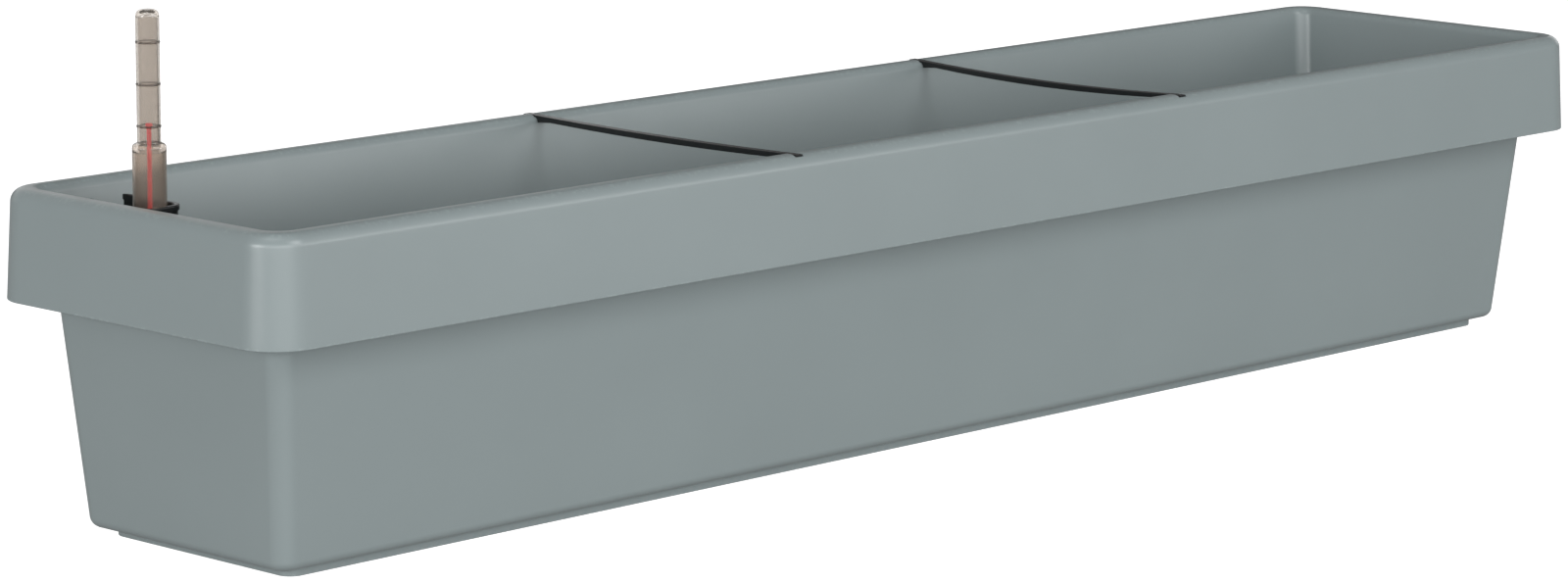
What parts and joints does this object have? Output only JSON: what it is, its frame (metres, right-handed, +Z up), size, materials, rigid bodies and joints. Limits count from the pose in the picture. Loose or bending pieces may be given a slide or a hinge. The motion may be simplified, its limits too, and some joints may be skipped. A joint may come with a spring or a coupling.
{
  "type": "self watering planter",
  "caption": "Long self-watering balcony planter with a deep folded rim, cross braces, a false floor over a water reservoir, a fill shaft and a float gauge.",
  "frame": {"origin": "under the middle of the foot ring, on the surface that the planter stands on", "axes": "+X along the trough, away from the gauge's end; +Y to the back, the side that the fill shaft stands at; +Z up"},
  "size_m": [1.0054, 0.2094, 0.2588],
  "materials": {
    "trough": "satin moulded grey-green",
    "black_plastic": "satin black",
    "plug": "matt black, flexible",
    "floor_plastic": "matt dark grey",
    "smoked_clear": "polished, smoke brown, transparent",
    "red_plastic": "glossy red",
    "foam": "closed-cell foam",
    "felt": "needled felt"
  },
  "bodies": {
    "trough": {"planter_box": "trough"},
    "plug": {"overflow_plug": "plug"},
    "left_floor": {"floor_left": "floor_plastic", "wick_left_1": "felt", "wick_left_2": "felt"},
    "middle_floor": {"floor_middle": "floor_plastic", "wick_middle_1": "felt", "wick_middle_2": "felt"},
    "right_floor": {"floor_right": "floor_plastic", "wick_right_1": "felt", "wick_right_2": "felt"},
    "shaft": {"fill_shaft": "black_plastic"},
    "gauge": {"gauge_tube": "smoked_clear", "gauge_foot": "black_plastic"},
    "float": {"float_body": "foam", "float_rod": "red_plastic"},
    "left_brace": {"brace_left": "black_plastic"},
    "right_brace": {"brace_right": "black_plastic"}
  },
  "joints": [
    {"name": "plug_pull", "type": "slide", "parent": "trough", "child": "plug", "axis": [1, 0, 0], "range_m": [0, 0.02]},
    {"name": "left_floor_lift", "type": "slide", "parent": "trough", "child": "left_floor", "axis": [0, 0, 1], "range_m": [0, 0.17]},
    {"name": "middle_floor_lift", "type": "slide", "parent": "trough", "child": "middle_floor", "axis": [0, 0, 1], "range_m": [0, 0.09]},
    {"name": "right_floor_lift", "type": "slide", "parent": "trough", "child": "right_floor", "axis": [0, 0, 1], "range_m": [0, 0.17]},
    {"name": "shaft_lift", "type": "slide", "parent": "left_floor", "child": "shaft", "axis": [0, 0, 1], "range_m": [0, 0.12]},
    {"name": "gauge_lift", "type": "slide", "parent": "shaft", "child": "gauge", "axis": [0, 0, 1], "range_m": [0, 0.16]},
    {"name": "float_rise", "type": "slide", "parent": "gauge", "child": "float", "axis": [0, 0, 1], "range_m": [0, 0.04]},
    {"name": "left_brace_lift", "type": "slide", "parent": "trough", "child": "left_brace", "axis": [0, 0, 1], "range_m": [0, 0.06]},
    {"name": "right_brace_lift", "type": "slide", "parent": "trough", "child": "right_brace", "axis": [0, 0, 1], "range_m": [0, 0.06]}
  ]
}
